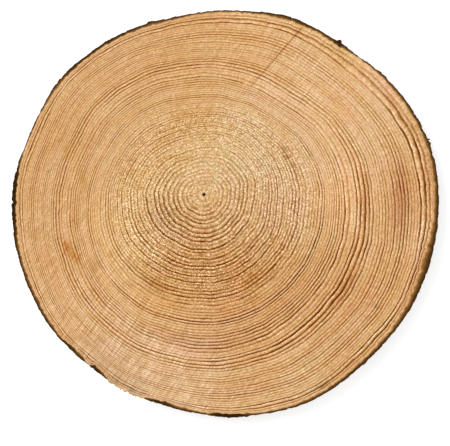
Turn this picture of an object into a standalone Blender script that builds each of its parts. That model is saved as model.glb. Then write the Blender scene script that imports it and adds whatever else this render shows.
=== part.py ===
"""Wood slice: a thin round of a conifer trunk, sawn across the grain with its bark on.

Metres, +Z up out of the upper sawn face, +X along the widest way across the slice.
The origin lies on the resting face, at the centre of the slice's box. Wood and bark
grew as one piece, so the slice is one solid.
"""
import math

import bmesh
import bpy

MM = 0.001

# Driving dimensions, in millimetres
WIDTH = 320.0        # widest way across, bark included
THICKNESS = 32.0     # between the two sawn faces
TRUNK_FLARE = 0.8    # how much the radius grows from the upper face to the lower one
BARK_RELIEF = 0.7    # height of the bark's ridges over its mean surface
PITH_RADIUS = 1.3    # the small hollow left where the pith dried out
PITH_DEPTH = 2.5

# The trunk's outline around its pith: direction in degrees, distance as a share of WIDTH
OUTLINE = (
    (0, 0.548), (12, 0.541), (24, 0.522), (36, 0.498), (48, 0.476), (60, 0.466),
    (72, 0.449), (86, 0.431), (100, 0.420), (120, 0.424), (142, 0.431), (160, 0.430),
    (172, 0.442), (190, 0.453), (206, 0.462), (220, 0.474), (234, 0.480), (246, 0.491),
    (262, 0.504), (280, 0.526), (300, 0.543), (314, 0.542), (330, 0.549), (346, 0.550),
)

# Bark ridges: waves around the trunk, share of BARK_RELIEF, and how far each one
# drifts around the trunk (in radians of its own wave) from the lower to the upper face
BARK_WAVES = ((19, 0.30, 0.9), (31, 0.35, -0.7), (47, 0.22, 0.5), (67, 0.13, -0.4))

# Mesh density
SIDE_SEGMENTS = 240
SIDE_ROWS = 5
PITH_SEGMENTS = 12

WOOD_COLOR = (0.63, 0.42, 0.23, 1.0)
WOOD_ROUGHNESS = 0.75


def outline_share(degrees):
    """Distance from the pith as a share of WIDTH: a smooth closed curve through OUTLINE."""
    count = len(OUTLINE)
    points = [(angle - 360.0, share) for angle, share in OUTLINE[-2:]]
    points += list(OUTLINE)
    points += [(angle + 360.0, share) for angle, share in OUTLINE[:2]]
    for i in range(1, count + 2):
        before, start, end, after = points[i - 1:i + 3]
        if start[0] <= degrees < end[0]:
            break
    span = end[0] - start[0]
    slope_start = (end[1] - before[1]) / (end[0] - before[0]) * span
    slope_end = (after[1] - start[1]) / (after[0] - start[0]) * span
    t = (degrees - start[0]) / span
    return (
        (2 * t**3 - 3 * t**2 + 1) * start[1]
        + (t**3 - 2 * t**2 + t) * slope_start
        + (3 * t**2 - 2 * t**3) * end[1]
        + (t**3 - t**2) * slope_end
    )


def bark_ridges(turn, height_share):
    """Height of the bark over its mean surface, in mm."""
    height = 0.0
    for i, (waves, share, drift) in enumerate(BARK_WAVES):
        height += share * math.sin(waves * turn + drift * height_share + i)
    return BARK_RELIEF * height


def side_point(segment, row):
    """A point on the bark, in mm from the pith on the resting face."""
    turn = 2 * math.pi * segment / SIDE_SEGMENTS
    height_share = row / (SIDE_ROWS - 1)
    radius = WIDTH * outline_share(math.degrees(turn))
    radius += bark_ridges(turn, height_share) + TRUNK_FLARE * (0.5 - height_share)
    return radius * math.cos(turn), radius * math.sin(turn), THICKNESS * height_share


def side_rows():
    """Rows of points around the bark, scaled to WIDTH and centred on the origin."""
    rows = [[side_point(segment, row) for segment in range(SIDE_SEGMENTS)] for row in range(SIDE_ROWS)]
    xs = [point[0] for row in rows for point in row]
    ys = [point[1] for row in rows for point in row]
    scale = WIDTH / (max(xs) - min(xs))
    centre = ((max(xs) + min(xs)) / 2 * scale, (max(ys) + min(ys)) / 2 * scale)
    placed = [[(x * scale - centre[0], y * scale - centre[1], z) for x, y, z in row] for row in rows]
    pith = (-centre[0], -centre[1])
    return placed, pith


def add_ring(mesh, points):
    """A closed loop of vertices at points given in mm."""
    return [mesh.verts.new((x * MM, y * MM, z * MM)) for x, y, z in points]


def ring_edges(mesh, ring):
    """The edges around a ring, made where they don't exist yet."""
    edges = []
    for i, vert in enumerate(ring):
        pair = (ring[i - 1], vert)
        edges.append(mesh.edges.get(pair) or mesh.edges.new(pair))
    return edges


def join_rings(mesh, lower, upper):
    """A band of quads between two rings of the same count."""
    for i in range(len(lower)):
        mesh.faces.new((lower[i - 1], lower[i], upper[i], upper[i - 1]))


def pith_hollow(mesh, centre):
    """A shallow cone into the upper face, as its rim; its faces meet at one point."""
    tip = mesh.verts.new((centre[0] * MM, centre[1] * MM, (THICKNESS - PITH_DEPTH) * MM))
    points = []
    for i in range(PITH_SEGMENTS):
        turn = 2 * math.pi * i / PITH_SEGMENTS
        x = centre[0] + PITH_RADIUS * math.cos(turn)
        y = centre[1] + PITH_RADIUS * math.sin(turn)
        points.append((x, y, THICKNESS))
    rim = add_ring(mesh, points)
    for i in range(PITH_SEGMENTS):
        mesh.faces.new((tip, rim[i - 1], rim[i]))
    return rim


def wood_material():
    """Pale sawn softwood."""
    material = bpy.data.materials.new("wood")
    material.use_nodes = True
    shader = material.node_tree.nodes["Principled BSDF"]
    shader.inputs["Base Color"].default_value = WOOD_COLOR
    shader.inputs["Roughness"].default_value = WOOD_ROUGHNESS
    shader.inputs["Metallic"].default_value = 0.0
    return material


def wood_slice():
    """The slice: bark side, resting face, and upper face around the pith's hollow."""
    mesh = bmesh.new()
    rows, pith = side_rows()
    rings = [add_ring(mesh, points) for points in rows]
    for lower, upper in zip(rings, rings[1:]):
        join_rings(mesh, lower, upper)
    mesh.faces.new(list(reversed(rings[0])))
    rim = pith_hollow(mesh, pith)
    upper_edges = ring_edges(mesh, rings[-1]) + ring_edges(mesh, rim)
    bmesh.ops.triangle_fill(mesh, use_beauty=True, edges=upper_edges, normal=(0, 0, 1))
    bmesh.ops.recalc_face_normals(mesh, faces=mesh.faces)
    data = bpy.data.meshes.new("wood_slice")
    mesh.to_mesh(data)
    mesh.free()
    data.materials.append(wood_material())
    data.shade_smooth()
    data.set_sharp_from_angle(angle=math.radians(35))
    slice_object = bpy.data.objects.new("wood_slice", data)
    bpy.context.scene.collection.objects.link(slice_object)
    return slice_object


def main():
    for old in list(bpy.data.objects):
        bpy.data.objects.remove(old, do_unlink=True)
    wood_slice()


main()
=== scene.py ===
"""Looks of the wood slice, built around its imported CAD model.

Lengths are in metres in the CAD model's frame: +Z up out of the upper sawn face, +X along the
widest way across. Directions are in degrees around the pith, counter-clockwise from +X.
Two pieces stand for the one CAD solid: "wood" is the two sawn faces and the rim between them,
and "bark" is the thin skin around the rim.
"""
import math

import bpy
import numpy as np
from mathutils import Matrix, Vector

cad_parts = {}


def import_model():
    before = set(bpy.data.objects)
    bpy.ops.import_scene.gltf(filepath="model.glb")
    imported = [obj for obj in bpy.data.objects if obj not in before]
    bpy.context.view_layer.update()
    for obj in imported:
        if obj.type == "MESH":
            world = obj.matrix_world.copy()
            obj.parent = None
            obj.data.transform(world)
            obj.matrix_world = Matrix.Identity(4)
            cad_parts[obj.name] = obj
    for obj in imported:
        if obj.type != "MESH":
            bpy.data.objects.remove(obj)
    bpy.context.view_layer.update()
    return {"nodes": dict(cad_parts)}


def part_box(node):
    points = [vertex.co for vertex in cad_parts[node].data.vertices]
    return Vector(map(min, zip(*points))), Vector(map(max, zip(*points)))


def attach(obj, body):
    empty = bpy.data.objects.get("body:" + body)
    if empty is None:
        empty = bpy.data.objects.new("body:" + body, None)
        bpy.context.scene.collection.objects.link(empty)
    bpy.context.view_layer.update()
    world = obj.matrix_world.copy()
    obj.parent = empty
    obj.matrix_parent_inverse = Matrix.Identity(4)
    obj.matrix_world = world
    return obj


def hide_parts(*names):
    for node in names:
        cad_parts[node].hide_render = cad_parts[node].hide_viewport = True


MM = 0.001
NODE = "wood_slice"
PITH = (-16.15 * MM, 13.77 * MM)

# --- Growth rings ---

RINGS = 68

# The shape of a few rings: age, then how far out each runs at every 30 degrees, in hundredths of
# the trunk's radius. These were measured in the photo by a scratch script, as report.md says
RING_SHAPES = (
    (12, (21.7, 24.0, 25.6, 25.8, 26.0, 28.9, 30.2, 29.1, 26.4, 25.4, 22.9, 21.7)),
    (20, (31.4, 33.2, 35.9, 37.3, 38.3, 41.6, 42.9, 43.1, 40.1, 37.5, 34.6, 32.8)),
    (34, (50.4, 50.2, 50.7, 53.6, 56.1, 57.8, 60.0, 62.1, 61.3, 57.9, 54.2, 51.9)),
    (43, (59.9, 59.6, 59.5, 64.6, 66.8, 68.1, 69.3, 71.3, 72.2, 70.1, 65.4, 62.4)),
    (47, (66.8, 66.6, 66.5, 71.4, 73.4, 74.3, 75.2, 77.3, 78.3, 75.6, 71.6, 69.0)),
    (54, (77.2, 75.8, 76.3, 79.7, 82.2, 83.1, 83.5, 85.5, 87.2, 84.9, 82.0, 81.0)),
    (65, (92.3, 90.5, 91.9, 93.7, 94.3, 95.1, 94.5, 95.4, 96.2, 96.2, 95.0, 94.2)),
)

# Years of wide growth, as a share of a usual ring's width, and the spread of all the others
WIDE_RINGS = {1: 1.6, 2: 1.3, 30: 1.4, 44: 1.25, 48: 1.5, 66: 1.5}
RING_SPREAD = 0.18

# Years with dark latewood, from 0 to 1; the others are pale, between these two
DARK_RINGS = {
    2: 0.3, 3: 0.5, 4: 0.6, 5: 0.5, 6: 0.6, 7: 0.4, 8: 0.6, 9: 0.55, 10: 0.65, 12: 0.75,
    15: 0.5, 17: 0.65, 18: 0.5, 20: 0.8, 22: 0.75, 25: 0.45, 26: 0.55, 27: 0.6, 29: 0.4,
    33: 0.45, 34: 0.85, 35: 0.75, 39: 0.6, 40: 0.5, 41: 0.65, 42: 0.45, 43: 0.7,
    46: 0.65, 47: 0.75, 48: 0.75, 49: 0.65, 50: 0.5, 54: 0.6, 57: 0.55, 59: 0.65, 60: 0.65,
    61: 0.6, 65: 0.85, 66: 0.95,
}
PALE_LATEWOOD = 0.35
FAINTEST = 0.35                     # the palest, as a share of PALE_LATEWOOD

# Slow waves that all rings share a little: waves around the trunk, and height in shares of radius
RING_WAVES = ((5, 0.0010), (9, 0.0012), (14, 0.0009), (22, 0.0007), (37, 0.0004))
WAVE_DRIFT = 0.12                   # radians that a wave may turn by from one ring to the next
WAVES_GROW, WAVES_FADE = 10, 3      # years from the pith, and from the bark, with lower waves

# Where the latewood stands out more or less: direction, share of radius, spread in mm, change
CONTRASTS = (
    (330, 0.72, 48, 0.45), (300, 0.60, 40, 0.40), (350, 0.86, 30, 0.35), (270, 0.62, 40, 0.15),
    (0, 0.92, 24, 0.20), (200, 0.75, 50, -0.05), (250, 0.88, 30, -0.25), (60, 0.60, 45, -0.15),
    (270, 0.35, 26, 0.55), (215, 0.22, 12, 0.45), (290, 0.42, 30, 0.25), (90, 0.12, 18, -0.30),
    (270, 0.07, 16, -0.35), (75, 0.20, 24, -0.45), (35, 0.94, 22, -0.45), (0, 0.55, 14, -0.2),
    (30, 0.66, 26, -0.25), (300, 0.35, 34, 0.30), (235, 0.30, 22, 0.25),
)
USUAL_CONTRAST = 1.12
CONTRAST_LIMITS = (0.1, 2.0)

# Where the saw's scratches show more than elsewhere: direction, share of radius, spread in mm, how
# much more
SCRATCHES = ((235, 0.88, 36, 0.8), (265, 0.90, 30, 0.5), (200, 0.80, 30, 0.4), (60, 0.80, 28, 0.5))
USUAL_SCRATCHES = 0.35
SCRATCH_HEADING = 54

# The middle of the face is fuzzier than the rest: shares of radius where that starts to fade and
# where it ends, and the fuzz outside
FUZZY_MIDDLE = (0.40, 0.60)
FUZZ_OUTSIDE = 0.25

# --- Colour of the sawn face ---

# Broad stains: direction, share of radius, spread in mm, and the colour they multiply by
TONES = (
    (205, 0.23, 9, (0.84, 0.82, 0.82)),
    (262, 0.25, 16, (0.92, 0.84, 0.72)),
    (292, 0.32, 20, (0.96, 0.91, 0.82)),
    (305, 0.48, 28, (0.95, 0.87, 0.77)),
    (325, 0.68, 30, (0.96, 0.89, 0.84)),
    (0, 0.88, 17, (0.97, 0.90, 0.90)),
    (255, 0.50, 19, (0.96, 0.86, 0.70)),
    (280, 0.58, 16, (0.95, 0.86, 0.78)),
    (175, 0.36, 22, (1.05, 1.07, 1.04)),
    (190, 0.44, 18, (1.04, 1.09, 1.10)),
    (212, 0.44, 15, (1.04, 1.07, 1.09)),
    (108, 0.70, 32, (1.03, 1.07, 1.09)),
    (122, 0.95, 18, (1.01, 1.03, 1.09)),
    (55, 0.31, 20, (1.02, 1.06, 1.10)),
    (272, 0.66, 16, (1.01, 1.03, 1.08)),
    (30, 0.95, 18, (1.02, 1.02, 1.07)),
    (0, 0.60, 22, (1.04, 1.05, 1.10)),
    (335, 0.46, 20, (1.03, 1.06, 1.10)),
    (247, 0.65, 18, (1.02, 1.05, 1.08)),
    (135, 0.31, 25, (1.03, 1.05, 1.05)),
    (90, 0.88, 24, (1.00, 0.98, 0.93)),
    (70, 0.22, 45, (1.02, 1.09, 1.13)),
    (40, 0.62, 45, (1.04, 1.03, 1.06)),
    (45, 0.30, 22, (1.00, 1.04, 1.10)),
    (0, 0.58, 14, (1.09, 1.09, 1.14)),
    (100, 0.52, 38, (0.97, 0.90, 0.80)),
    (100, 0.67, 11, (1.04, 1.08, 1.20)),
    (105, 0.87, 38, (0.93, 0.86, 0.82)),
    (165, 0.77, 45, (0.95, 0.90, 0.88)),
    (205, 0.80, 26, (0.98, 0.92, 0.87)),
    (262, 0.90, 40, (1.02, 1.05, 1.16)),
    (238, 0.93, 15, (0.94, 0.97, 1.08)),
    (215, 0.47, 13, (1.05, 1.09, 1.08)),
    (60, 0.32, 18, (1.02, 1.07, 1.13)),
    (60, 0.68, 16, (0.98, 0.94, 0.91)),
    (120, 0.62, 20, (1.00, 1.03, 1.06)),
    (335, 0.92, 20, (1.00, 0.96, 0.94)),
    (244, 1.0, 5, (0.74, 0.80, 0.86)),
    (250, 1.0, 6, (0.74, 0.80, 0.86)),
)

# Marks: direction, share of radius, spread along and across in mm, heading, and their colour
MARKS = (
    (200.6, 0.748, 4.4, 1.9, -62, (0.76, 0.56, 0.28)),
    (205.6, 0.726, 3.4, 2.5, -45, (0.78, 0.61, 0.33)),
    (173.1, 0.644, 5.4, 1.8, -80, (0.85, 0.77, 0.52)),
    (162.1, 0.784, 5.0, 1.6, -75, (0.92, 0.85, 0.66)),
    (29.7, 0.424, 1.4, 1.1, 0, (0.60, 0.54, 0.42)),
    (24.3, 0.409, 1.6, 1.3, 20, (0.58, 0.44, 0.36)),
    (18.3, 0.413, 2.4, 1.0, -55, (0.70, 0.62, 0.48)),
    (242.6, 0.488, 6.0, 3.0, -35, (0.74, 0.62, 0.46)),
    (298.9, 0.412, 8.0, 5.0, 20, (0.90, 0.80, 0.66)),
    (327.3, 0.714, 10.0, 3.5, 58, (0.82, 0.70, 0.58)),
    (358.4, 0.835, 19.0, 4.5, 88, (0.80, 0.68, 0.64)),
    (358.0, 0.686, 14.0, 2.2, 88, (0.84, 0.74, 0.68)),
    (17.4, 0.970, 8.0, 2.0, -64, (0.80, 0.70, 0.64)),
    (24.4, 0.942, 16.0, 1.7, -63, (0.86, 0.75, 0.66)),
    (301.8, 0.966, 3.2, 1.6, 28, (0.62, 0.56, 0.46)),
    (327.0, 0.874, 2.4, 0.9, -45, (0.60, 0.58, 0.60)),
    (258.6, 0.682, 18.0, 4.0, -10, (0.92, 0.86, 0.92)),
    (277.9, 0.679, 18.0, 4.0, 6, (0.94, 0.87, 0.88)),
    (282.0, 0.878, 15.0, 4.0, 8, (0.94, 0.86, 0.84)),
    (6.0, 0.972, 18.0, 2.0, 98, (0.82, 0.72, 0.66)),
    (340.0, 0.965, 24.0, 2.4, 70, (0.88, 0.80, 0.72)),
    (308.0, 0.965, 22.0, 2.0, 38, (0.92, 0.84, 0.74)),
)

# A straight step that the saw left: a point on it, its heading, how wide a paler zone lies beyond
# it in mm, and the colour there
SAW_STEP = (60.7, 0.882, 49, 26, (1.03, 1.08, 1.18))
STEP_EDGE = 0.8                 # mm to each side of the step over which that zone starts
ZONE_START = (-95, -50)         # mm along the step over which the zone appears
LINE_START = (-60.0, -15.0)     # the same for the dark line on the step
LINE_WIDTH = (0.9, 0.2)         # mm from the step where the line ends, and where it is full
LINE_DENSITY = 0.8

# --- The bark's thickness and its lumps ---

# Bark thickness in mm at directions where it changes; 0 is where it fell off
BARK_THICKNESS = (
    (0, 2.7), (12, 2.4), (22, 2.2), (30, 2.0), (37, 1.2), (44, 1.6), (48, 3.0), (54, 2.2), (60, 2.7),
    (67, 2.6), (80, 1.6), (92, 1.2), (100, 1.6), (110, 2.1), (122, 2.3), (140, 2.4), (149, 1.9),
    (154, 0.8), (166, 0.9), (171, 1.8), (178, 2.9), (188, 2.8), (197, 2.0), (205, 2.2), (212, 2.6),
    (220, 2.2), (226, 1.4), (228, 2.4), (233, 2.8), (234.6, 0.5), (236.2, 0.5), (237.2, 2.9),
    (240.5, 2.4), (242, 0.6), (243, 0), (253, 0), (254.6, 1.8), (260, 2.8), (265, 1.8), (271, 1.2),
    (272.2, 2.2), (281, 2.0), (283, 1.2), (292, 1.2), (300, 1.9), (312, 1.8), (325, 2.2), (334, 3.3),
    (344, 4.9), (351, 3.2),
)

# Lumps and dents in the bark: direction, half width, height and how far down they reach, in mm
BARK_LUMPS = (
    (48.5, 1.6, 1.9, 9), (13.8, 0.6, 2.0, 6), (12.8, 1.3, 1.0, 8), (16.6, 1.3, -1.3, 5),
    (235.4, 2.4, -0.9, 7), (272.0, 1.2, 0.5, 20), (281.0, 1.2, 0.5, 20),
    (276.5, 10.0, 0.5, 20), (244.8, 0.9, 2.6, 4), (42.0, 6.0, -0.9, 30), (107, 4.0, 1.2, 14),
    (34, 4.0, 0.7, 20), (328, 75, 0.5, 60), (129, 15, -0.5, 60), (54, 14, -0.5, 60),
    (76, 20, -0.5, 60), (166, 7, -0.5, 60),
)

# Where the bark fell off, from one direction to the other; below the edge its borders wander by
# this many mm
BARE_FROM, BARE_TO = 242.4, 253.6
BARE_WANDER = 5.0
BARE_DIP = 0.25                 # and there the bark's skin lies this many mm under the wood's

# Where the sawn bark is darker than elsewhere, or paler: direction, half width in mm, how much
DARK_BARK = (
    (276.5, 10, 0.90), (180, 22, 0.55), (48.5, 4, 0.40), (237, 8, 0.30), (228, 8, 0.25),
    (258, 8, 0.30), (135, 12, 0.15), (60, 10, 0.10), (312, 26, 0.10), (150, 16, -0.15),
    (88, 22, -0.20), (30, 12, -0.10), (125, 30, 0.20), (190, 12, 0.20),
)

# Quick ups and downs of the thickness: waves around the trunk, and their height as a share of it
BARK_WAVES = (47, 83, 131, 197)
BARK_UNEVEN = 0.07


# --- Curves, noise and small helpers ---

def around(table, degrees):
    """A smooth closed curve through (direction, value) pairs, read at the given directions."""
    angles = np.array([row[0] for row in table], float)
    values = np.array([row[1] for row in table], float)
    angles = np.concatenate([angles[-2:] - 360, angles, angles[:2] + 360])
    values = np.concatenate([values[-2:], values, values[:2]])
    slopes = np.zeros_like(values)
    slopes[1:-1] = (values[2:] - values[:-2]) / (angles[2:] - angles[:-2])
    at = np.mod(degrees, 360)
    i = np.searchsorted(angles, at, side="right") - 1
    span = angles[i + 1] - angles[i]
    t = (at - angles[i]) / span
    return (
        (2 * t**3 - 3 * t**2 + 1) * values[i]
        + (t**3 - 2 * t**2 + t) * span * slopes[i]
        + (3 * t**2 - 2 * t**3) * values[i + 1]
        + (t**3 - t**2) * span * slopes[i + 1]
    )


def directions(count):
    """Evenly spaced directions around the pith."""
    return np.arange(count) * 360.0 / count


def smoothstep(low, high, x):
    """0 up to low and 1 from high on, or the other way round, with a smooth change between."""
    t = np.clip((x - low) / (high - low), 0, 1)
    return t * t * (3 - 2 * t)


def seen_from(x, y, outline, direction, share, heading=0.0):
    """Distances in mm along and across a heading, from the point at a direction and share."""
    turn = math.radians(direction)
    reach = share * float(around_outline(outline, direction))
    east = (x - PITH[0] - reach * math.cos(turn)) / MM
    north = (y - PITH[1] - reach * math.sin(turn)) / MM
    cos, sin = math.cos(math.radians(heading)), math.sin(math.radians(heading))
    return east * cos + north * sin, north * cos - east * sin


def blobs(table, x, y, outline):
    """For each row of table, its last column and how much it counts at the points x, y."""
    for direction, share, spread, change in table:
        east, north = seen_from(x, y, outline, direction, share)
        yield change, np.exp(-0.5 * (east**2 + north**2) / spread**2)


def marks(table, x, y, outline):
    """The same for long marks, each with its own heading."""
    for direction, share, length, width, heading, change in table:
        along, across = seen_from(x, y, outline, direction, share, heading)
        yield change, np.exp(-0.5 * ((along / length) ** 2 + (across / width) ** 2))


def around_outline(outline, degrees):
    """The trunk's radius at the given directions."""
    table = np.append(outline, outline[0])
    return np.interp(np.mod(degrees, 360), np.linspace(0, 360, len(table)), table)


def cad_outline(node, height):
    """The trunk's radius at evenly spaced directions, from the CAD solid's upper edge. Its ridges
    are left out, because the bark piece makes its own."""
    samples = 720
    widest_ridge = 16            # waves around the trunk
    edge_height = 0.1 * MM       # of the points taken for the upper edge
    hollow_reach = 10 * MM       # the pith's hollow has points up there too, nearer than this
    points = np.array([v.co for v in node.data.vertices])
    edge = points[points[:, 2] > height - edge_height]
    reach = np.hypot(edge[:, 0] - PITH[0], edge[:, 1] - PITH[1])
    turn = np.degrees(np.arctan2(edge[:, 1] - PITH[1], edge[:, 0] - PITH[0])) % 360
    rim = reach > hollow_reach
    order = np.argsort(turn[rim])
    radius = np.interp(directions(samples), turn[rim][order], reach[rim][order], period=360)
    waves = np.fft.rfft(radius)
    waves[widest_ridge:] = 0
    return np.fft.irfft(waves, samples)


# --- Ring geometry ---

class Rings:
    """The growth rings: where each one runs, and how dark its latewood is."""

    def __init__(self, seed=7):
        rng = np.random.default_rng(seed)
        widths = rng.uniform(1 - RING_SPREAD, 1 + RING_SPREAD, RINGS + 1)
        self.latewood = rng.uniform(FAINTEST, 1.0, RINGS + 2) * PALE_LATEWOOD
        for age, width in WIDE_RINGS.items():
            widths[age] = width
        for age, dark in DARK_RINGS.items():
            self.latewood[age] = dark
        widths[0] = 0
        self.growth = np.cumsum(widths)
        self.phases = rng.uniform(0, 2 * math.pi, len(RING_WAVES))
        self.drifts = rng.uniform(-WAVE_DRIFT, WAVE_DRIFT, len(RING_WAVES))

    def grown(self, age):
        """How far out the ring of this age lies, in usual rings' widths."""
        return np.interp(age, np.arange(RINGS + 1), self.growth)

    def shares(self, age, degrees, rim_shares):
        """Shares of the trunk's radius where the ring of this age runs."""
        shapes = [(0, np.zeros_like(degrees))]
        for known, row in RING_SHAPES:
            table = [(30 * i, share / 100) for i, share in enumerate(row)]
            shapes.append((known, around(table, degrees)))
        shapes.append((RINGS, rim_shares))
        band = max(i for i in range(len(shapes) - 1) if shapes[i][0] <= age)
        (inner_age, inner), (outer_age, outer) = shapes[band], shapes[band + 1]
        start = self.grown(inner_age)
        part = (self.grown(age) - start) / (self.grown(outer_age) - start)
        fade = min(1, age / WAVES_GROW) * min(1, (RINGS - age) / WAVES_FADE)
        waves = np.zeros_like(degrees)
        for (count, height), phase, drift in zip(RING_WAVES, self.phases, self.drifts):
            waves += height * np.sin(np.radians(degrees) * count + phase + drift * age)
        return inner * (1 - part) + outer * part + waves * fade

    def darkness(self, age):
        """How dark the latewood of this age is."""
        return float(np.interp(age, np.arange(RINGS + 2), self.latewood))


# --- Skins made of closed rows of points ---

class Skin:
    """Closed rows of points joined in order: each has as many points as its neighbour, twice as
    many, half as many or one. Rows run counter-clockwise seen from above, and the skin faces left
    of the way from one row to the next."""

    def __init__(self):
        self.points = []
        self.values = {}
        self.starts = []
        self.counts = []
        self.regions = []
        self.total = 0

    def add(self, x, y, z, region, **values):
        """A row of points, the region of the faces between it and the row before, and values that
        the material reads."""
        count = len(x)
        self.points.append(np.stack([x, y, np.broadcast_to(z, count)], 1))
        for name, value in values.items():
            value = np.asarray(value, float)
            if value.ndim < 2:
                value = np.broadcast_to(value, count)
            self.values.setdefault(name, []).append(value)
        self.starts.append(self.total)
        self.counts.append(count)
        self.regions.append(region)
        self.total += count

    def band(self, a, b):
        """The faces between rows a and b."""
        inner, outer = self.starts[a], self.starts[b]
        n, m = self.counts[a], self.counts[b]
        i = np.arange(min(n, m))
        following = (i + 1) % len(i)
        if n == m:
            quads = (inner + i, outer + i, outer + following, inner + following)
            return np.stack(quads, 1).tolist()
        fewer, more = (inner, outer) if n < m else (outer, inner)
        if len(i) == 1:
            i = np.arange(max(n, m))
            faces = [(np.full(len(i), fewer), more + i, more + (i + 1) % len(i))]
        elif max(n, m) == 2 * len(i):
            whole, half, end = more + 2 * i, more + 2 * i + 1, more + 2 * following
            faces = [
                (fewer + i, whole, half),
                (fewer + i, half, fewer + following),
                (fewer + following, half, end),
            ]
        else:
            raise ValueError(f"rows of {n} and {m} points can't be joined")
        faces = np.concatenate([np.stack(corners, 1) for corners in faces])
        if n > m:
            faces = faces[:, [1, 0, 2]]
        return faces.tolist()

    def build(self, name, uv_of, closed=False):
        """The mesh object. uv_of gives each face corner its place on the bake's map."""
        faces, regions = [], []
        rows = len(self.starts)
        pairs = [(i, i + 1) for i in range(rows - 1)]
        if closed:
            pairs.append((rows - 1, 0))
        for a, b in pairs:
            found = self.band(a, b)
            faces += found
            regions += [self.regions[b]] * len(found)
        points = np.concatenate(self.points)
        mesh = bpy.data.meshes.new(name)
        mesh.from_pydata(points.tolist(), [], faces)
        for key, rows_of in self.values.items():
            values = np.concatenate(rows_of)
            kind = "FLOAT" if values.ndim == 1 else "FLOAT_VECTOR"
            attribute = mesh.attributes.new(key, kind, "POINT")
            field = "value" if values.ndim == 1 else "vector"
            attribute.data.foreach_set(field, values.astype(np.float32).ravel())
        mesh.shade_smooth()
        corners = np.empty(len(mesh.loops), np.int32)
        mesh.loops.foreach_get("vertex_index", corners)
        sizes = np.array([len(face) for face in faces])
        face_of = np.repeat(np.arange(len(faces)), sizes)
        layer = mesh.uv_layers.new(name="OFBake", do_init=False)
        uv = uv_of(mesh, points, corners, face_of, np.array(regions))
        layer.uv.foreach_set("vector", uv.astype(np.float32).ravel())
        piece = bpy.data.objects.new(name, mesh)
        bpy.context.scene.collection.objects.link(piece)
        return piece


def path_of(mesh):
    """How far across its band each point lies."""
    path = np.empty(len(mesh.vertices), np.float32)
    mesh.attributes["path"].data.foreach_get("value", path)
    return path


def at_first_corner(values, face_of):
    """For each face corner, the value at the first corner of its face."""
    first = np.searchsorted(face_of, np.arange(face_of[-1] + 1))
    return values[first][face_of]


def strip_uv(turn, path, face_of, strips, low, high):
    """Lays a band around the trunk in several strips, one above the other, in a box of the map.
    turn is 0 to 1 around the trunk and path 0 to 1 across the band, for each face corner."""
    gap = 0.008
    start = at_first_corner(turn, face_of)
    turn = np.where(turn < start - 0.5, turn + 1, turn)
    turn = np.where(turn > start + 0.5, turn - 1, turn)
    middle = np.bincount(face_of, turn) / np.bincount(face_of)
    strip = np.floor(np.mod(middle, 1) * strips)
    base = np.floor(middle[face_of]) + strip[face_of] / strips
    u = low[0] + (high[0] - low[0]) * (turn - base) * strips
    height = (high[1] - low[1]) / strips
    v = low[1] + strip[face_of] * height + path * (height - gap)
    return np.stack([u, v], 1)


def turn_share(points):
    """How far around the pith each point lies, from 0 to 1."""
    return np.mod(np.arctan2(points[:, 1] - PITH[1], points[:, 0] - PITH[0]) / (2 * math.pi), 1)


# --- The wood ---

PITH_HOLLOW = ((0.0, -2.4), (0.35, -2.1), (0.6, -1.3), (0.8, -0.2))   # radius and depth in mm
RIDGE = 0.09 * MM          # how far dark latewood stands over the earlywood
TRUNK_FLARE = 0.8 * MM     # growth of the radius from the upper face to the lower one
BARK_CREST = 0.45 * MM     # how far the bark's scales stand over the mean outline
EDGE_ROWS = ((0.9, 0.0), (0.3, -0.03), (0.05, -0.16), (0.0, -0.5))   # mm inwards and down
SIDE_ROWS = 10
TORN_EDGE = 1.5 * MM       # how far fibres stand out of the wood's edge where the bark fell off
SPLINTER_SEED = 11
COLUMNS = 1280             # points of a row around the side and around the bark
FEWEST = 40                # points of a ring's row beside the pith
BETWEEN = 0.55             # how many years before each ring the lower row beside it runs
INNERMOST_AGE = 0.6
RIM_AGE = RINGS - 0.3      # so that no dark line runs right along the edge


def segments_at(age):
    """How many points a ring's row has."""
    for limit, count in ((3, FEWEST), (7, 80), (16, 160), (36, 320)):
        if age < limit:
            return count
    return 640


class Trunk:
    """What both pieces share: the outline, the bark's thickness, and the rim of the wood."""

    def __init__(self, outline, top, rings):
        self.outline = outline + BARK_CREST
        self.top = top
        self.rings = rings

    def radius(self, degrees):
        return around_outline(self.outline, degrees)

    def bark(self, degrees):
        """The bark's thickness at the given directions."""
        angles, depths = zip(*BARK_THICKNESS)
        uneven = sum(np.sin(np.radians(degrees) * waves + waves) for waves in BARK_WAVES)
        return np.interp(degrees, angles, depths, period=360) * (1 + BARK_UNEVEN * uneven) * MM

    def wood_radius(self, degrees):
        return self.radius(degrees) - self.bark(degrees)


def tone_at(trunk, x, y):
    """The stain colour at points of a sawn face."""
    _, _, _, reach, pale = SAW_STEP
    along, across, _ = step_at(trunk, x, y).T
    beyond = smoothstep(STEP_EDGE, -STEP_EDGE, across) * np.exp(np.minimum(across, 0) / reach)
    beyond *= smoothstep(*ZONE_START, along)
    tone = 1 + beyond[:, None] * (np.array(pale) - 1)
    stains = [*blobs(TONES, x, y, trunk.outline), *marks(MARKS, x, y, trunk.outline)]
    for colour, weight in stains:
        tone *= 1 + weight[:, None] * (np.array(colour) - 1)
    return tone


def contrast_at(trunk, x, y):
    """How much the latewood stands out at points of a sawn face."""
    contrast = np.full(len(x), USUAL_CONTRAST)
    for change, weight in blobs(CONTRASTS, x, y, trunk.outline):
        contrast += change * weight
    return np.clip(contrast, *CONTRAST_LIMITS)


def scratched_at(trunk, x, y):
    """How much the saw's scratches show at points of a sawn face."""
    scratched = np.full(len(x), USUAL_SCRATCHES)
    for change, weight in blobs(SCRATCHES, x, y, trunk.outline):
        scratched += change * weight
    return scratched


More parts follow.
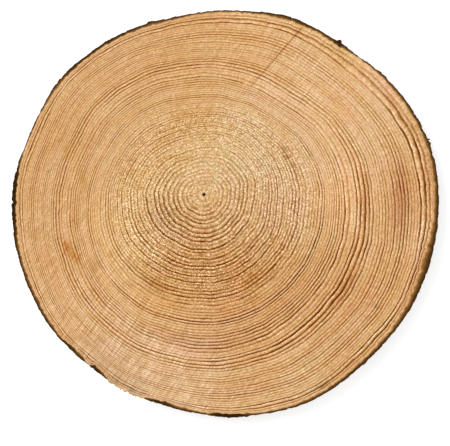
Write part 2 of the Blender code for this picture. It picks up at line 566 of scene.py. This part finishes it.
def step_at(trunk, x, y):
    """Distances in mm along and across the saw's step."""
    direction, share, heading, _, _ = SAW_STEP
    along, across = seen_from(x, y, trunk.outline, direction, share, heading)
    return np.stack([along, across, np.zeros(len(x))], 1)


def face_row(skin, trunk, age, degrees, shares, z, region):
    """A row of points on a sawn face, at these shares of the trunk's radius."""
    reach = shares * trunk.radius(degrees)
    turn = np.radians(degrees)
    x = PITH[0] + reach * np.cos(turn)
    y = PITH[1] + reach * np.sin(turn)
    add_wood_row(skin, trunk, age, degrees, x, y, z, region, shares)


def add_wood_row(skin, trunk, age, degrees, x, y, z, region, shares, side=0.0, path=0.0):
    """A row of points of the wood, with all that its material reads. side is 1 on the trunk's
    side, and path is how far down it the row lies, from 0 to 1."""
    contrast = contrast_at(trunk, x, y)
    turn = np.radians(degrees)
    around_at = np.stack([np.cos(turn), np.sin(turn), np.full(len(x), age)], 1)
    fuzz = 1.0 - (1.0 - FUZZ_OUTSIDE) * smoothstep(*FUZZY_MIDDLE, shares)
    skin.add(
        x, y, z, region,
        age=age, latewood=trunk.rings.darkness(age) * contrast, tone=tone_at(trunk, x, y),
        around=around_at, fuzz=fuzz, contrast=contrast, scratched=scratched_at(trunk, x, y),
        step=step_at(trunk, x, y), side=side, path=path,
    )


def hollow_rows(skin, trunk):
    """The small hollow of the pith, from its bottom to its rim, a little out of round."""
    for radius, depth in PITH_HOLLOW:
        degrees = directions(segments_at(0) if radius else 1)
        turn = np.radians(degrees)
        uneven = 1 + 0.12 * np.sin(turn * 2 + 1) + 0.06 * np.sin(turn * 5)
        shares = radius * MM * uneven / trunk.radius(degrees)
        face_row(skin, trunk, 0.0, degrees, shares, trunk.top + depth * MM, "upper")


def upper_rows(skin, trunk):
    """The upper sawn face: a raised row along each ring's latewood, and a lower one between."""
    for year in range(1, RINGS):
        for age, raised in ((max(year - BETWEEN, INNERMOST_AGE), False), (year, True)):
            degrees = directions(segments_at(age))
            rim = trunk.wood_radius(degrees) / trunk.radius(degrees)
            shares = trunk.rings.shares(age, degrees, rim)
            height = RIDGE * trunk.rings.darkness(year) if raised else 0.0
            face_row(skin, trunk, age, degrees, shares, trunk.top - RIDGE + height, "upper")


def rim_rows(skin, trunk):
    """The edges and the side, from the upper face down to the lower one."""
    degrees = directions(COLUMNS)
    turn = np.radians(degrees)
    heights = [(inwards, trunk.top + down * MM) for inwards, down in EDGE_ROWS]
    low = -EDGE_ROWS[-1][1] * MM
    bare = smoothstep(0.6, 0.0, trunk.bark(degrees) / MM)
    splinters = np.random.default_rng(SPLINTER_SEED).uniform(0, TORN_EDGE, len(degrees)) * bare
    for i in range(1, SIDE_ROWS):
        heights.append((0.0, trunk.top - (trunk.top - low) * i / SIDE_ROWS))
    heights += [(inwards, -down * MM) for inwards, down in reversed(EDGE_ROWS)]
    for i, (inwards, z) in enumerate(heights):
        drop = 1 - z / trunk.top
        torn = splinters * smoothstep(0.6, 0.0, drop)
        reach = trunk.wood_radius(degrees) + TRUNK_FLARE * drop + torn - inwards * MM
        x = PITH[0] + reach * np.cos(turn)
        y = PITH[1] + reach * np.sin(turn)
        on_side = 0.0 if i in (0, len(heights) - 1) else 1.0
        region = "upper" if i == 0 else "side"
        shares = reach / trunk.radius(degrees)
        path = i / (len(heights) - 1)
        add_wood_row(skin, trunk, RIM_AGE, degrees, x, y, z, region, shares, on_side, path)


def lower_rows(skin, trunk):
    """The lower sawn face, from its edge to its middle. It is flat, so all but its first row have
    half the points of the upper face's rows."""
    for age in range(RINGS - 1, 0, -1):
        count = segments_at(age)
        if age < RINGS - 1:
            count = max(count // 2, FEWEST)
        degrees = directions(count)
        rim = (trunk.wood_radius(degrees) + TRUNK_FLARE) / trunk.radius(degrees)
        shares = trunk.rings.shares(age, degrees, rim)
        face_row(skin, trunk, age, degrees, shares, 0.0, "lower")
    face_row(skin, trunk, 0.0, directions(1), np.zeros(1), 0.0, "lower")


def wood_uv(mesh, points, corners, face_of, regions):
    """The upper face large in one corner of the map, the lower one smaller in the opposite
    corner, and the side in strips beside them."""
    upper_size, lower_size, margin = 0.70, 0.45, 0.004
    strips, strips_low, strips_high = 4, (0.004, 0.725), (0.51, 0.995)
    low, high = points.min(0), points.max(0)
    span = max(high[:2] - low[:2])
    middle = (low + high) / 2
    flat = (points[corners][:, :2] - middle[:2]) / span
    region = regions[face_of]
    uv = np.empty((len(corners), 2))
    upper = region == "upper"
    lower = region == "lower"
    side = region == "side"
    uv[upper] = margin + upper_size * (flat[upper] + 0.5)
    uv[lower] = 1 - margin - lower_size * (flat[lower] * (-1, 1) + 0.5)
    path = path_of(mesh)[corners[side]]
    _, side_face = np.unique(face_of[side], return_inverse=True)
    turn = turn_share(points)[corners[side]]
    uv[side] = strip_uv(turn, path, side_face, strips, strips_low, strips_high)
    return uv


def make_wood(trunk):
    """The wood: one closed skin from the pith's hollow over the rim to the lower face's middle."""
    skin = Skin()
    hollow_rows(skin, trunk)
    upper_rows(skin, trunk)
    rim_rows(skin, trunk)
    lower_rows(skin, trunk)
    return skin.build("wood", wood_uv)


# --- The bark ---

BARK_ROWS = 44
BARK_SEED, CUT_SEED = 21, 5
BARK_ROOT = 0.6 * MM        # how deep the bark's inner side sits in the wood
SCALE_SIZE = (8.0, 11.0)    # mm around the trunk and along it, of a scale of bark
FLAKE_SIZE = (3.6, 4.6)     # the same for the flakes on the scales
GAP_SHARE = 0.30            # how much of the thickness the gaps between scales take
THINNEST = 0.12             # mm of bark that cover the wood at least
CUT_STEPS = (0.0, 0.3, 0.6, 0.9)    # rows across the sawn bark, as shares of its thickness
CUT_BULGE = 0.12 * MM
CUT_RECESS = (0.02, 0.8)    # least and most that the sawn bark lies under the sawn wood, in mm


def cells(s, z, perimeter, size, rng):
    """Irregular cells on the bark's surface, which closes after one perimeter. For each point:
    how far it is from the cell's border, the cell's random number, and the vector from its
    middle, in units of the cell size."""
    irregular, farthest = 0.42, 2.2
    columns = int(round(perimeter / size[0]))
    rows = int(math.ceil((z.max() - z.min()) / size[1])) + 2
    step = perimeter / columns
    column, row = np.meshgrid(np.arange(columns), np.arange(rows) - 1)
    jitter = rng.uniform(-irregular, irregular, (2, rows, columns))
    seed_s = ((column + 0.5 * (row % 2) + 0.5 + jitter[0]) * step).ravel()
    seed_z = (z.min() + (row + 0.5 + jitter[1]) * size[1]).ravel()
    value = rng.uniform(0, 1, seed_s.size)
    nearest = np.full(s.size, np.inf)
    second = np.full(s.size, np.inf)
    chosen = np.zeros(s.size, int)
    flat_s, flat_z = s.ravel(), z.ravel()
    for k in range(seed_s.size):
        ds = np.mod(flat_s - seed_s[k] + perimeter / 2, perimeter) - perimeter / 2
        near = np.abs(ds) < farthest * size[0]
        d = np.hypot(ds[near] / size[0], (flat_z[near] - seed_z[k]) / size[1])
        first = nearest[near]
        closer = d < first
        second[near] = np.where(closer, first, np.minimum(second[near], d))
        nearest[near] = np.where(closer, d, first)
        index = chosen[near]
        index[closer] = k
        chosen[near] = index
    ds = np.mod(flat_s - seed_s[chosen] + perimeter / 2, perimeter) - perimeter / 2
    offset = np.stack([ds / size[0], (flat_z - seed_z[chosen]) / size[1]], -1)
    shape = s.shape
    border = (second - nearest).reshape(shape)
    return border, value[chosen].reshape(shape), offset.reshape(*shape, 2)


def waves_field(s, z, perimeter, rng, count=24, longest=60.0, shortest=5.0):
    """Smooth noise over the bark's surface, about -1 to 1, which closes after one perimeter."""
    total = np.zeros_like(s)
    weight = 0.0
    for _ in range(count):
        length = longest * (shortest / longest) ** rng.uniform()
        waves = max(1, round(perimeter / length))
        across = 2 * math.pi / length * rng.uniform(-1.2, 1.2)
        part = (length / longest) ** 0.5
        total += part * np.sin(2 * math.pi * waves * s / perimeter + across * z + rng.uniform(0, 6.3))
        weight += part * part
    return total / math.sqrt(weight / 2) / 2


def bark_relief(trunk, degrees, heights):
    """The bark's outer surface over the wood's rim, in metres, with what its material reads."""
    rng = np.random.default_rng(BARK_SEED)
    mean_radius = trunk.radius(degrees).mean() / MM
    perimeter = 2 * math.pi * mean_radius
    s, z = np.meshgrid(degrees / 360 * perimeter, heights / MM)
    warp_s = s + 2.4 * waves_field(s, z, perimeter, rng, longest=30, shortest=4)
    warp_z = z + 3.0 * waves_field(s, z, perimeter, rng, longest=30, shortest=4)
    border, lot, offset = cells(warp_s, warp_z, perimeter, SCALE_SIZE, rng)
    _, small_lot, small_offset = cells(warp_s, warp_z, perimeter, FLAKE_SIZE, rng)
    gaping = smoothstep(-0.1, 0.7, waves_field(s, z, perimeter, rng, longest=40, shortest=6))
    scale = 1 - gaping * (1 - smoothstep(0.02, 0.30, border))
    lift = 0.9 * (lot - 0.5) - 0.45 * offset[..., 1]
    lift += 0.6 * (small_lot - 0.5) - 0.3 * small_offset[..., 1]
    thickness = trunk.bark(degrees)[None, :] / MM
    height = thickness * (1 - GAP_SHARE + GAP_SHARE * scale) + scale * (0.05 + 0.55 * lift)
    rough = waves_field(s, z, perimeter, rng, count=40, longest=10, shortest=1.8)
    height += 0.20 * rough
    top = z.max()
    for direction, half_width, rise, down in BARK_LUMPS:
        across = (s - direction / 360 * perimeter) / half_width
        height += rise * np.exp(-across**4) * smoothstep(down, down * 0.4, top - z)
    height = np.maximum(height, THINNEST)
    fallen = smoothstep(0.35, 0.05, thickness) * np.ones_like(s)
    beyond = np.maximum(BARE_FROM / 360 * perimeter - s, s - BARE_TO / 360 * perimeter)
    wander = waves_field(s, z, perimeter, rng, longest=30, shortest=3)
    wander = BARE_WANDER * (0.5 + 0.5 * wander) * smoothstep(0.5, 5.0, top - z)
    fallen = np.maximum(fallen, smoothstep(0.3, -0.3, beyond - wander))
    height = height * (1 - fallen) - BARE_DIP * fallen
    # The crust level follows the relief, so the colour darkens in the gaps and low spots: painted shade,
    # besides the crusts' own colour
    crust = np.clip(0.10 + 0.30 * scale + 0.30 * lift + 0.12 * rough, 0, 1)
    return height * MM, crust, lot


def bark_rows(skin, trunk):
    """The bark's skin as one closed loop of rows: down the outside, under, up the inside, over."""
    degrees = directions(COLUMNS)
    turn = np.radians(degrees)
    rng = np.random.default_rng(CUT_SEED)
    heights = np.linspace(trunk.top, 0, BARK_ROWS)
    relief, crust, lot = bark_relief(trunk, degrees, heights)
    perimeter = 2 * math.pi * trunk.radius(degrees).mean() / MM
    s = degrees / 360 * perimeter
    jag = 0.25 + 0.22 * waves_field(s, np.zeros_like(s), perimeter, rng, longest=20, shortest=2.5)
    recess = np.clip(jag, *CUT_RECESS) * MM
    darker = np.zeros(COLUMNS)
    for direction, half_width, change in DARK_BARK:
        across = (s - direction / 360 * perimeter) / half_width
        darker += change * np.exp(-across**4)
    wood = trunk.wood_radius(degrees)

    def place(reach, z, **values):
        skin.add(PITH[0] + reach * np.cos(turn), PITH[1] + reach * np.sin(turn), z, "bark", **values)

    for i, z in enumerate(heights):
        drop = 1 - z / trunk.top
        share = i / (BARK_ROWS - 1)
        z_row = np.clip(z, recess * 0.4, trunk.top - recess)
        place(
            wood + TRUNK_FLARE * drop + relief[i], z_row,
            crust=crust[i], lot=lot[i], cut=0.0, depth=1.0, path=0.05 + 0.75 * share,
        )
    bottom = (wood + TRUNK_FLARE, relief[-1], recess * 0.4, 1.0)
    top = (wood, relief[0], trunk.top - recess, -1.0)
    inwards, outwards = CUT_STEPS[::-1], CUT_STEPS
    for (base, reach, z, facing), steps, start in ((bottom, inwards, 0.80), (top, outwards, 0.92)):
        for k, depth in enumerate(steps):
            reach_here = base - BARK_ROOT + (reach + BARK_ROOT) * depth
            bulge = CUT_BULGE * math.sin(math.pi * depth) * facing
            place(
                reach_here, z - bulge,
                crust=0.5, lot=0.5, cut=1.0, depth=depth + darker, path=start + 0.02 * k,
            )


def bark_uv(mesh, points, corners, face_of, regions):
    """Strips one above the other, over the whole map."""
    strips, low, high = 5, (0.004, 0.004), (0.996, 0.996)
    turn = turn_share(points)[corners]
    path = path_of(mesh)[corners]
    start = at_first_corner(path, face_of)
    path = np.where(path < start - 0.5, path + 1, path)
    return strip_uv(turn, path, face_of, strips, low, high)


def make_bark(trunk):
    """The bark: one closed ring of skin, its inner side just inside the wood."""
    skin = Skin()
    bark_rows(skin, trunk)
    return skin.build("bark", bark_uv, closed=True)


# --- Materials ---

class Graph:
    """Builds a material's nodes. An input is a number, a colour, or another node's output."""

    def __init__(self, name):
        self.material = bpy.data.materials.new(name)
        self.material.use_nodes = True
        self.tree = self.material.node_tree
        self.shader = self.tree.nodes["Principled BSDF"]

    def node(self, kind, inputs, **settings):
        made = self.tree.nodes.new("ShaderNode" + kind)
        for name, value in settings.items():
            setattr(made, name, value)
        for key, value in inputs.items():
            self.feed(made.inputs[key], value)
        return made

    def feed(self, socket, value):
        if isinstance(value, bpy.types.NodeSocket):
            self.tree.links.new(value, socket)
        elif socket.type == "RGBA":
            socket.default_value = (*value, 1.0)
        else:
            socket.default_value = value

    def finish(self, inputs):
        """Feeds the shader's inputs by name, and gives the material."""
        for name, value in inputs.items():
            self.feed(self.shader.inputs[name], value)
        return self.material

    def attribute(self, name, output="Fac"):
        return self.node("Attribute", {}, attribute_name=name).outputs[output]

    def math(self, operation, a, b=0.0, c=0.0, clamp=False):
        inputs = {0: a, 1: b, 2: c}
        return self.node("Math", inputs, operation=operation, use_clamp=clamp).outputs[0]

    def either_way(self, noise, reach):
        """Stretches 0 to 1 to -reach to reach."""
        return self.math("MULTIPLY_ADD", noise, 2 * reach, -reach)

    def vector(self, operation, a, b):
        return self.node("VectorMath", {0: a, 1: b}, operation=operation).outputs[0]

    def noise(self, vector, scale, detail=2.0, roughness=0.5, output="Fac"):
        inputs = {"Vector": vector, "Scale": scale, "Detail": detail, "Roughness": roughness}
        return self.node("TexNoise", inputs).outputs[output]

    def along_rings(self, around, yearly, detail):
        """Noise that follows the rings: how quickly it changes around the trunk and each year."""
        place = self.vector("MULTIPLY", self.attribute("around", "Vector"), (around, around, yearly))
        return self.noise(place, 1.0, detail)

    def random_cells(self, vector, scale):
        """A random number in each of many small cells."""
        cells_at = self.node("TexVoronoi", {"Vector": vector, "Scale": scale})
        return self.node("SeparateColor", {"Color": cells_at.outputs["Color"]}).outputs[0]

    def float_mix(self, factor, a, b):
        return self.node("Mix", {0: factor, 2: a, 3: b}, data_type="FLOAT").outputs[0]

    def ramp(self, factor, stops):
        made = self.node("ValToRGB", {"Fac": factor})
        elements = made.color_ramp.elements
        while len(elements) < len(stops):
            elements.new(0.5)
        for element, (position, colour) in zip(elements, stops):
            element.position = position
            channels = colour if isinstance(colour, tuple) else (colour,) * 3
            element.color = (*channels, 1.0)
        return made.outputs["Color"]

    def range(self, value, low, high, to_low=0.0, to_high=1.0):
        inputs = {"Value": value, "From Min": low, "From Max": high, "To Min": to_low, "To Max": to_high}
        return self.node("MapRange", inputs).outputs["Result"]

    def mix(self, factor, a, b, blend="MIX"):
        inputs = {0: factor, 6: a, 7: b}
        return self.node("Mix", inputs, data_type="RGBA", blend_type=blend).outputs[2]

    def bump(self, height, distance):
        inputs = {"Height": height, "Distance": distance, "Strength": 1.0}
        return self.node("Bump", inputs).outputs["Normal"]


# Sawn wood of density 0, plain and warm, and what one unit of density multiplies red, green and
# blue by
WOOD = (0.524, 0.310, 0.139)
WOOD_WARM = (0.502, 0.273, 0.103)
DENSER = (0.556, 0.447, 0.295)
DARKER = (0.0, 0.08, 0.18)          # extra share of the density in each channel where it is dark
EARLYWOOD = -0.36                   # density of the pale wood between the dark lines
FUZZY_WOOD = 0.13                   # added where the face is fuzziest
RED_TINT = (1.10, 0.90, 0.80)
PINK_TINT = (1.015, 0.97, 1.015)
GOLD_TINT = (0.985, 1.03, 0.985)
PITH_BROWN = (0.045, 0.020, 0.008)
PITH_AGE = (0.22, 0.05)             # ages where the wood starts to be that brown, and where it is
WOOD_SHEEN, BARK_SHEEN = 0.02, 0.03

# A ring from its middle to the next one's middle, with its dark line between: it darkens through
# the summer, and the next spring's wood starts pale
SUMMER_BAND = ((0.0, 0.0), (0.12, 0.15), (0.25, 0.6), (0.36, 1.0), (0.63, 1.0), (0.72, 0.0))
LATE_LINE = ((0.20, 0.0), (0.32, 0.4), (0.40, 0.9), (0.45, 1.0), (0.58, 1.0), (0.63, 0.7), (0.69, 0.0))
SPRING_BAND = ((0.66, 0.0), (0.76, 1.0), (0.88, 0.7), (1.0, 0.0))
SUMMER_DENSITY, LATE_DENSITY, SPRING_DENSITY = 0.78, 0.98, -0.30

# How far the rings wander, in years: in slow waves, and in torn fibres in the fuzzy middle
RING_WOBBLE, TORN_WOBBLE = 0.35, 0.16

# The wood's side, from dark fibres to pale ones
SIDE_FIBRES = ((0.3, (0.30, 0.14, 0.05)), (0.5, (0.55, 0.30, 0.12)), (0.7, (0.70, 0.45, 0.22)))

# Bark from its gaps, which are dark with painted shade, to its crusts, then sawn bark from the wood
# outwards, and two tints of crusts
BARK_SCALES_AND_GAP_SHADE = (
    (0.05, (0.012, 0.005, 0.001)), (0.35, (0.040, 0.019, 0.007)),
    (0.6, (0.082, 0.044, 0.019)), (0.9, (0.150, 0.100, 0.056)),
)
SAWN_BARK = (
    (0.05, (0.36, 0.180, 0.062)), (0.35, (0.200, 0.090, 0.022)),
    (0.62, (0.085, 0.036, 0.006)), (1.0, (0.030, 0.012, 0.002)),
)
GREY_CRUST = (0.120, 0.088, 0.054)
RED_CRUST = (0.115, 0.048, 0.024)


def ring_density(g, place):
    """The density of the rings, with how much of a point is latewood and how strong that is."""
    contrast = g.attribute("contrast")
    wobble = g.either_way(g.noise(place, 70.0, 2.0), RING_WOBBLE)
    wobble = g.math("MULTIPLY", wobble, g.range(g.attribute("age"), 4.0, 30.0, 0.15, 1.0))
    age = g.math("ADD", g.attribute("age"), wobble)
    fine = g.either_way(g.noise(place, 1200.0, 1.0), TORN_WOBBLE)
    torn = g.math("MULTIPLY", g.attribute("fuzz"), g.range(contrast, 0.7, 1.7, 0.35, 1.3))
    age = g.math("ADD", age, g.math("MULTIPLY", fine, torn))
    season = g.math("FRACT", g.math("ADD", age, 0.5))
    arcs = g.along_rings(6.0, 0.75, 2.0)
    dashes = g.along_rings(32.0, 1.3, 1.0)
    strength = g.math("MULTIPLY", g.attribute("latewood"), g.range(arcs, 0.32, 0.68, 0.5, 1.45))
    strength = g.math("MULTIPLY", strength, g.range(dashes, 0.3, 0.7, 0.85, 1.15))
    late = g.ramp(season, LATE_LINE)
    profile = g.math("MULTIPLY", g.ramp(season, SUMMER_BAND), SUMMER_DENSITY)
    profile = g.math("MULTIPLY_ADD", late, LATE_DENSITY, profile)
    profile = g.math("MULTIPLY_ADD", g.ramp(season, SPRING_BAND), SPRING_DENSITY, profile)
    density = g.math("MULTIPLY_ADD", profile, strength, EARLYWOOD)
    return density, late, strength


def add_fibres(g, place, density):
    """Adds the torn fibres of the sawn end grain, which are pale and dark specks, in strings along
    the rings outside the fuzzy middle, and the fine rays from pith to bark. Gives the specks too."""
    fuzz = g.attribute("fuzz")
    bend = g.vector("MULTIPLY", g.noise(place, 700.0, 1.0, output="Color"), (0.001,) * 3)
    tufts = g.random_cells(g.vector("ADD", place, bend), 1700.0)
    stretched = g.vector("MULTIPLY", g.attribute("around", "Vector"), (120.0, 120.0, 4.0))
    specks = g.float_mix(fuzz, g.random_cells(stretched, 1.0), tufts)
    amount = g.math("MULTIPLY", fuzz, g.range(g.attribute("contrast"), 0.6, 1.8, 0.85, 1.45))
    amount = g.math("ADD", amount, 0.58)
    density = g.math("MULTIPLY_ADD", g.math("SUBTRACT", 0.5, specks), amount, density)
    rays = g.along_rings(150.0, 0.15, 2.0)
    density = g.math("ADD", density, g.range(rays, 0.55, 0.75, 0.0, -0.25))
    return g.math("MULTIPLY_ADD", fuzz, FUZZY_WOOD, density), specks


def add_saw_marks(g, place, density):
    """Adds the saw's straight scratches and the dark line on its step."""
    heading = math.radians(-SCRATCH_HEADING)
    turned = g.node("VectorRotate", {"Vector": place, "Angle": heading}, rotation_type="Z_AXIS")
    scratches = g.noise(g.vector("MULTIPLY", turned.outputs[0], (50.0, 1200.0, 1.0)), 1.0, 1.0)
    scratches = g.range(scratches, 0.3, 0.7, 0.35, -0.35)
    density = g.math("ADD", density, g.math("MULTIPLY", scratches, g.attribute("scratched")))
    along, across, _ = g.node("SeparateXYZ", {"Vector": g.attribute("step", "Vector")}).outputs
    line = g.range(g.math("ABSOLUTE", across), *LINE_WIDTH, 0.0, LINE_DENSITY)
    return g.math("MULTIPLY_ADD", line, g.range(along, *LINE_START), density)


def density_colour(g, place, density):
    """The colour of this density, in wood that is warmer here than there."""
    cloud = g.noise(place, 25.0, 4.0, 0.6)
    bands = g.along_rings(2.0, 0.45, 2.0)
    warm = g.range(g.math("ADD", cloud, bands), 0.80, 1.20)
    dark = g.math("MAXIMUM", density, 0.0)
    channels = [
        g.math("POWER", channel, g.math("MULTIPLY_ADD", dark, extra, density))
        for channel, extra in zip(DENSER, DARKER)
    ]
    shade = g.node("CombineColor", dict(enumerate(channels))).outputs[0]
    return g.mix(1.0, g.mix(warm, WOOD, WOOD_WARM), shade, "MULTIPLY")


def add_tints(g, colour, late, strength):
    """Reddens some of the latewood, turns the rings pink and golden, and adds the stains."""
    red = g.range(g.along_rings(9.0, 0.4, 1.0), 0.45, 0.65)
    red = g.math("MULTIPLY", g.math("MULTIPLY", red, late), strength, clamp=True)
    colour = g.mix(red, colour, RED_TINT, "MULTIPLY")
    pink = g.range(g.along_rings(4.0, 0.5, 3.0), 0.30, 0.70)
    colour = g.mix(1.0, colour, g.mix(pink, GOLD_TINT, PINK_TINT), "MULTIPLY")
    return g.mix(1.0, colour, g.attribute("tone", "Vector"), "MULTIPLY")


def side_colour(g, place):
    """The wood's side where the bark fell off: orange-brown, with fibres along the trunk."""
    fibres = g.noise(g.vector("MULTIPLY", place, (1.0, 1.0, 0.06)), 900.0, 3.0, 0.6)
    return g.ramp(fibres, SIDE_FIBRES)


def wood_material():
    """Sawn end grain. Its colour follows from a density, which the rings, fibres and saw marks
    make."""
    g = Graph("sawn_wood")
    place = g.node("TexCoord", {}).outputs["Object"]
    density, late, strength = ring_density(g, place)
    density, specks = add_fibres(g, place, density)
    density = add_saw_marks(g, place, density)
    colour = density_colour(g, place, density)
    colour = add_tints(g, colour, late, strength)
    colour = g.mix(g.range(g.attribute("age"), *PITH_AGE), colour, PITH_BROWN)
    colour = g.mix(g.attribute("side"), colour, side_colour(g, place))
    tufted = g.math("MULTIPLY", g.attribute("fuzz"), 0.7)
    height = g.math("MULTIPLY_ADD", specks, tufted, g.math("MULTIPLY", late, 0.4))
    return g.finish({
        "Base Color": colour,
        "Roughness": g.range(specks, 0.0, 1.0, 0.62, 0.85),
        "Specular IOR Level": WOOD_SHEEN,
        "Normal": g.bump(height, 0.12 * MM),
    })


def bark_material():
    """Rough bark: dark in its gaps with painted shade, greyer and redder on some crusts, and brown where
    sawn.
    """
    g = Graph("bark")
    place = g.node("TexCoord", {}).outputs["Object"]
    grit = g.noise(place, 700.0, 4.0, 0.65)
    speckle = g.either_way(grit, 0.25)
    # Painted shade: the colour darkens as the crust level falls, into the gaps and low spots of the
    # bark's relief
    level = g.math("ADD", g.attribute("crust"), speckle)
    bark_colour_and_shade = g.ramp(level, BARK_SCALES_AND_GAP_SHADE)
    patches = g.range(g.noise(place, 90.0, 4.0, 0.6), 0.45, 0.65)
    grey = g.math("MULTIPLY", patches, g.range(level, 0.3, 0.7))
    bark_colour_and_shade = g.mix(g.math("MULTIPLY", grey, 0.5), bark_colour_and_shade, GREY_CRUST)
    lot = g.range(g.attribute("lot"), 0.6, 1.0)
    red = g.math("MULTIPLY", lot, g.range(grit, 0.35, 0.6, 0.0, 0.5))
    bark_colour_and_shade = g.mix(red, bark_colour_and_shade, RED_CRUST)
    cut = g.ramp(g.math("ADD", g.attribute("depth"), speckle), SAWN_BARK)
    return g.finish({
        "Base Color": g.mix(g.attribute("cut"), bark_colour_and_shade, cut),
        "Roughness": 0.9,
        "Specular IOR Level": BARK_SHEEN,
        "Normal": g.bump(grit, 0.6 * MM),
    })


def floor_material():
    """A pale floor that glows a little, so that it stays near white around the slice."""
    return Graph("pale_floor").finish({
        "Base Color": (0.93, 0.93, 0.93),
        "Emission Color": (1.0, 1.0, 1.0),
        "Emission Strength": 0.35,
        "Roughness": 0.95,
        "Specular IOR Level": 0.0,
    })


# --- Stage ---

def make_floor():
    """A wide square, just under the slice."""
    size, z = 3.0, -0.05 * MM
    mesh = bpy.data.meshes.new("floor")
    corners = [(-size, -size, z), (size, -size, z), (size, size, z), (-size, size, z)]
    mesh.from_pydata(corners, [], [(0, 1, 2, 3)])
    mesh.materials.append(floor_material())
    floor = bpy.data.objects.new("floor", mesh)
    bpy.context.scene.collection.objects.link(floor)


def make_light(name, place, size, power):
    """A round soft light, aimed at the slice."""
    data = bpy.data.lights.new(name, "AREA")
    data.shape = "DISK"
    data.size = size
    data.energy = power
    lamp = bpy.data.objects.new(name, data)
    lamp.location = place
    aim = -lamp.location.normalized()
    lamp.rotation_euler = aim.to_track_quat("-Z", "Y").to_euler()
    bpy.context.scene.collection.objects.link(lamp)


def make_lights():
    """An even white surround, and one softbox to the upper left."""
    world = bpy.data.worlds.new("studio")
    world.use_nodes = True
    background = world.node_tree.nodes["Background"]
    background.inputs["Color"].default_value = (1.0, 1.0, 1.0, 1.0)
    background.inputs["Strength"].default_value = 0.95
    bpy.context.scene.world = world
    make_light("softbox", place=(-0.9, 0.7, 2.0), size=1.2, power=19.0)


def make_camera(top):
    """Straight down on the slice, which fills most of the view."""
    view_width = 336.5 * MM      # across the upper face
    over = (-0.45 * MM, -7.5 * MM)
    height = 1.6
    sensor = 36.0
    data = bpy.data.cameras.new("camera")
    data.sensor_width = sensor
    data.lens = sensor * (height - top) / view_width
    data.clip_end = 20.0
    camera = bpy.data.objects.new("camera", data)
    camera.location = (*over, height)
    bpy.context.scene.collection.objects.link(camera)
    bpy.context.scene.camera = camera


# --- Everything together ---

def main():
    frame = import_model()
    _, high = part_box(NODE)
    outline = cad_outline(frame["nodes"][NODE], high.z)
    trunk = Trunk(outline, high.z, Rings())
    wood = make_wood(trunk)
    wood.data.materials.append(wood_material())
    bark = make_bark(trunk)
    bark.data.materials.append(bark_material())
    for piece, slot in ((wood, "wood"), (bark, "bark")):
        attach(piece, "root")
        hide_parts(NODE)
    make_floor()
    make_lights()
    make_camera(high.z)
    bpy.context.scene.view_settings.view_transform = "Standard"


main()
